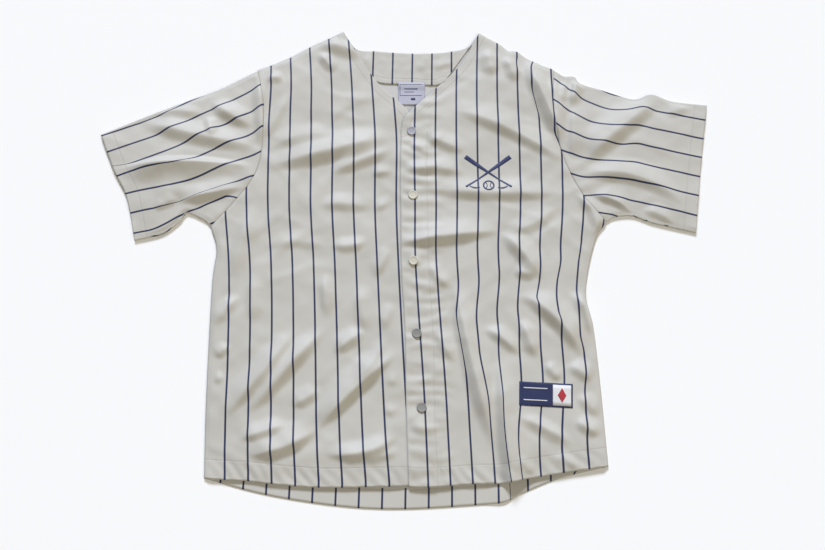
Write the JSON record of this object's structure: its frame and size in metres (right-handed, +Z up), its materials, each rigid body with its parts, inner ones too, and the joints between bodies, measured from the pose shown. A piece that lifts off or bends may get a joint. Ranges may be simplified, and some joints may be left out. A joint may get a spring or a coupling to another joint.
{
  "type": "short-sleeve jersey shirt",
  "caption": "Short-sleeve V-neck jersey shirt with a snap placket, pinstriped cloth, a hem patch and a shirt-tail back hem, laid flat with its front up.",
  "frame": {"origin": "under the middle of the shirt's box, on the surface that it lies on", "axes": "+X across the shirt towards the wearer's left sleeve, +Y up the shirt from hem to neck, +Z up out of the front"},
  "size_m": [0.986, 0.7801, 0.0177],
  "materials": {
    "jersey_cloth": "cream polyester knit with a slight satin sheen and navy pinstripes 2.5 mm wide",
    "label_cloth": "lilac-grey woven satin",
    "patch_cloth": "navy woven cloth with a white panel and a merrowed edge",
    "snap_cap": "satin pearl-grey enamelled metal"
  },
  "bodies": {
    "root": {"back_panel": "jersey_cloth", "front_right": "jersey_cloth", "front_left": "jersey_cloth", "sleeve_right": "jersey_cloth", "sleeve_left": "jersey_cloth", "back_neck_facing": "jersey_cloth", "label": "label_cloth", "hem_patch": "patch_cloth", "snap_1": "snap_cap", "snap_2": "snap_cap", "snap_3": "snap_cap", "snap_4": "snap_cap", "snap_5": "snap_cap"}
  },
  "joints": []
}
